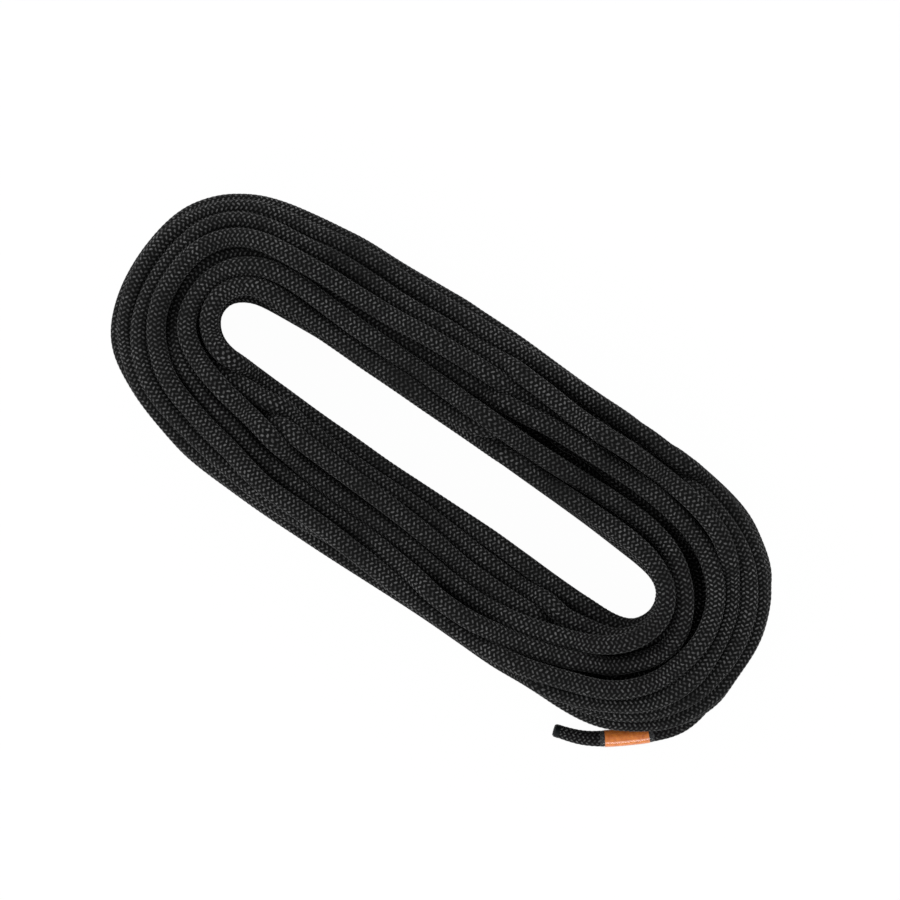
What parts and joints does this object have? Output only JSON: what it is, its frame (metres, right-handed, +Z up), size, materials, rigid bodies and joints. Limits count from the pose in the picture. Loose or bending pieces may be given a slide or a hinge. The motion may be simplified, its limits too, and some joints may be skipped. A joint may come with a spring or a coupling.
{
  "type": "dynamic climbing rope",
  "caption": "Black kernmantle climbing rope laid as a long flat hank, with one free end that has a plain orange label under a clear sleeve.",
  "frame": {"origin": "middle of the whole rope's footprint, on the surface that it lies on", "axes": "+X along the hank's long axis towards the half turn that the free end comes round, +Z up"},
  "size_m": [0.3648, 0.155, 0.0479],
  "materials": {
    "sheath": "tightly braided polyamide",
    "core": "twisted white polyamide yarn",
    "tape": "thin film",
    "label": "printed film, bare",
    "sleeve": "clear, glossy",
    "melted_end": "melted and pressed polyamide"
  },
  "bodies": {
    "root": {"hank_turns": "sheath", "hank_inner_turns": "sheath", "hidden_end_tip": "melted_end", "free_end_run": "sheath", "end_sheath": "sheath", "core_strand_01": "core", "core_strand_02": "core", "core_strand_03": "core", "core_strand_04": "core", "core_strand_05": "core", "core_strand_06": "core", "core_strand_07": "core", "core_strand_08": "core", "core_strand_09": "core", "core_strand_10": "core", "core_strand_11": "core", "marker_tape": "tape", "end_label": "label", "shrink_sleeve": "sleeve", "free_end_tip": "melted_end"}
  },
  "joints": []
}
